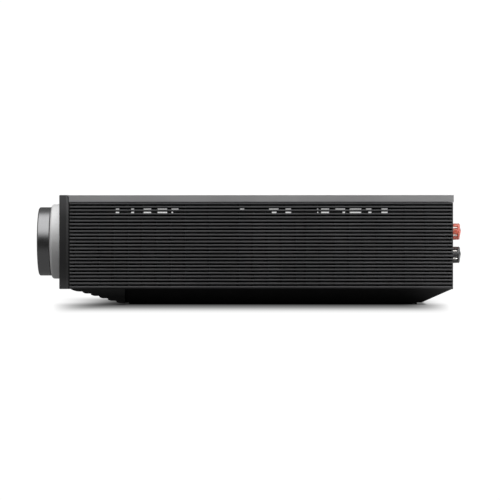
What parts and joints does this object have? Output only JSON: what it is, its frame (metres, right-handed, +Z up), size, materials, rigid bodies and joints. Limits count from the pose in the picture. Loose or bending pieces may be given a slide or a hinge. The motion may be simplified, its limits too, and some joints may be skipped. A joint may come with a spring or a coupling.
{
  "type": "integrated amplifier",
  "caption": "Slim desktop stereo amplifier: slatted sides, grey lid, dark front with a display and a knob over a silver ring, tapered louvred base and screw-down speaker terminals behind.",
  "frame": {"origin": "centre of the bottom of the outer box, on the surface the rubber rails stand on", "axes": "-Y towards the front and its knob, +X to the right seen from the front, +Z up"},
  "size_m": [0.317, 0.3508, 0.0899],
  "materials": {
    "slats_black_anodised": "satin black anodised",
    "front_black_anodised": "satin black anodised, fine bead blast",
    "lid_grey_anodised": "satin grey anodised",
    "chassis_steel": "black powder coat",
    "rear_steel": "black powder coat",
    "hull_plastic": "fine moulded texture",
    "rail_rubber": "matte",
    "screw_steel": "black oxide",
    "display_glass": "clear, dark behind",
    "display_body": "matte",
    "knob_black": "turned, black anodised",
    "ring_silver": "turned, clear anodised",
    "shaft_steel": "turned",
    "encoder_case": "plated",
    "key_black": "satin black anodised",
    "jack_plastic": "matte",
    "circuit_board": "solder resist",
    "post_red": "moulded, clear gloss",
    "post_black": "moulded, gloss",
    "post_metal": "gold plated",
    "socket_plastic": "matte",
    "pin_metal": "nickel plated",
    "socket_metal": "plated",
    "phono_metal": "gold plated",
    "phono_core": "moulded",
    "transformer_body": "tape and ferrite",
    "capacitor_sleeve": "shrunk sleeve",
    "sink_black": "black anodised",
    "coil_copper": "enamelled copper",
    "standoff_brass": "nickel plated",
    "wire_black": "sleeved",
    "wire_red": "sleeved"
  },
  "bodies": {
    "case": {"front_plate": "front_black_anodised", "display_window": "display_glass", "display_module": "display_body", "remote_window": "display_glass", "lid": "lid_grey_anodised", "side_panel_right": "slats_black_anodised", "side_panel_left": "slats_black_anodised", "chassis_frame": "chassis_steel", "rear_panel": "rear_steel", "base_hull": "hull_plastic", "intake_louvre": "hull_plastic", "foot_rails": "rail_rubber", "lid_screws": "screw_steel", "rear_panel_screws": "screw_steel", "base_screws": "screw_steel", "encoder_body": "encoder_case", "headphone_jack": "jack_plastic", "control_board": "circuit_board", "post_bases_red": "post_red", "post_bases_black": "post_black", "post_studs": "post_metal", "mains_inlet": "socket_plastic", "inlet_pins": "pin_metal", "rocker_housing": "socket_plastic", "network_socket": "socket_metal", "usb_sockets": "socket_metal", "video_socket": "socket_metal", "optical_sockets": "socket_plastic", "mini_jacks": "socket_metal", "phono_shells": "phono_metal", "phono_insulators": "phono_core", "power_board": "circuit_board", "power_transformer": "transformer_body", "bulk_capacitors": "capacitor_sleeve", "amp_board": "circuit_board", "heat_sink": "sink_black", "output_coils": "coil_copper", "main_board": "circuit_board", "standoffs": "standoff_brass", "mains_wires": "wire_black", "speaker_wires": "wire_red"},
    "volume_dial": {"volume_knob": "knob_black", "volume_shaft": "shaft_steel"},
    "source_dial": {"source_ring": "ring_silver", "ring_shaft": "shaft_steel"},
    "power_key": {"power_button": "key_black"},
    "mains_switch": {"power_rocker": "socket_plastic"},
    "info_key": {"info_button": "key_black"},
    "skip_key": {"skip_button": "key_black"},
    "play_key": {"play_button": "key_black"},
    "back_key": {"back_button": "key_black"},
    "menu_key": {"menu_button": "key_black"},
    "right_red_carriage": {"right_red_plug": "post_red"},
    "right_red_grip": {"right_red_cap": "post_red"},
    "right_black_carriage": {"right_black_plug": "post_black"},
    "right_black_grip": {"right_black_cap": "post_black"},
    "left_red_carriage": {"left_red_plug": "post_red"},
    "left_red_grip": {"left_red_cap": "post_red"},
    "left_black_carriage": {"left_black_plug": "post_black"},
    "left_black_grip": {"left_black_cap": "post_black"}
  },
  "joints": [
    {"name": "volume_turn", "type": "hinge", "parent": "case", "child": "volume_dial", "pos_m": [0.086, -0.17, 0.0522], "axis": [0, 1, 0], "continuous": true},
    {"name": "source_turn", "type": "hinge", "parent": "case", "child": "source_dial", "pos_m": [0.086, -0.158, 0.0522], "axis": [0, 1, 0], "continuous": true},
    {"name": "power_press", "type": "slide", "parent": "case", "child": "power_key", "axis": [0, 1, 0], "range_m": [0, 0.0008], "stiffness_N_per_m": 1500},
    {"name": "info_press", "type": "slide", "parent": "case", "child": "info_key", "axis": [0, 1, 0], "range_m": [0, 0.0008], "stiffness_N_per_m": 1500},
    {"name": "skip_press", "type": "slide", "parent": "case", "child": "skip_key", "axis": [0, 1, 0], "range_m": [0, 0.0008], "stiffness_N_per_m": 1500},
    {"name": "play_press", "type": "slide", "parent": "case", "child": "play_key", "axis": [0, 1, 0], "range_m": [0, 0.0008], "stiffness_N_per_m": 1500},
    {"name": "back_press", "type": "slide", "parent": "case", "child": "back_key", "axis": [0, 1, 0], "range_m": [0, 0.0008], "stiffness_N_per_m": 1500},
    {"name": "menu_press", "type": "slide", "parent": "case", "child": "menu_key", "axis": [0, 1, 0], "range_m": [0, 0.0008], "stiffness_N_per_m": 1500},
    {"name": "mains_rock", "type": "hinge", "parent": "case", "child": "mains_switch", "pos_m": [-0.104, 0.1521, 0.06], "axis": [1, 0, 0], "range_deg": [0, 20]},
    {"name": "right_red_travel", "type": "slide", "parent": "case", "child": "right_red_carriage", "axis": [0, 1, 0], "range_m": [0, 0.0045]},
    {"name": "right_red_unscrew", "type": "hinge", "parent": "right_red_carriage", "child": "right_red_grip", "pos_m": [0.1345, 0.165, 0.0601], "axis": [0, 1, 0], "range_deg": [0, 1620]},
    {"name": "right_black_travel", "type": "slide", "parent": "case", "child": "right_black_carriage", "axis": [0, 1, 0], "range_m": [0, 0.0045]},
    {"name": "right_black_unscrew", "type": "hinge", "parent": "right_black_carriage", "child": "right_black_grip", "pos_m": [0.1345, 0.165, 0.04105], "axis": [0, 1, 0], "range_deg": [0, 1620]},
    {"name": "left_red_travel", "type": "slide", "parent": "case", "child": "left_red_carriage", "axis": [0, 1, 0], "range_m": [0, 0.0045]},
    {"name": "left_red_unscrew", "type": "hinge", "parent": "left_red_carriage", "child": "left_red_grip", "pos_m": [-0.1345, 0.165, 0.0601], "axis": [0, 1, 0], "range_deg": [0, 1620]},
    {"name": "left_black_travel", "type": "slide", "parent": "case", "child": "left_black_carriage", "axis": [0, 1, 0], "range_m": [0, 0.0045]},
    {"name": "left_black_unscrew", "type": "hinge", "parent": "left_black_carriage", "child": "left_black_grip", "pos_m": [-0.1345, 0.165, 0.04105], "axis": [0, 1, 0], "range_deg": [0, 1620]}
  ]
}
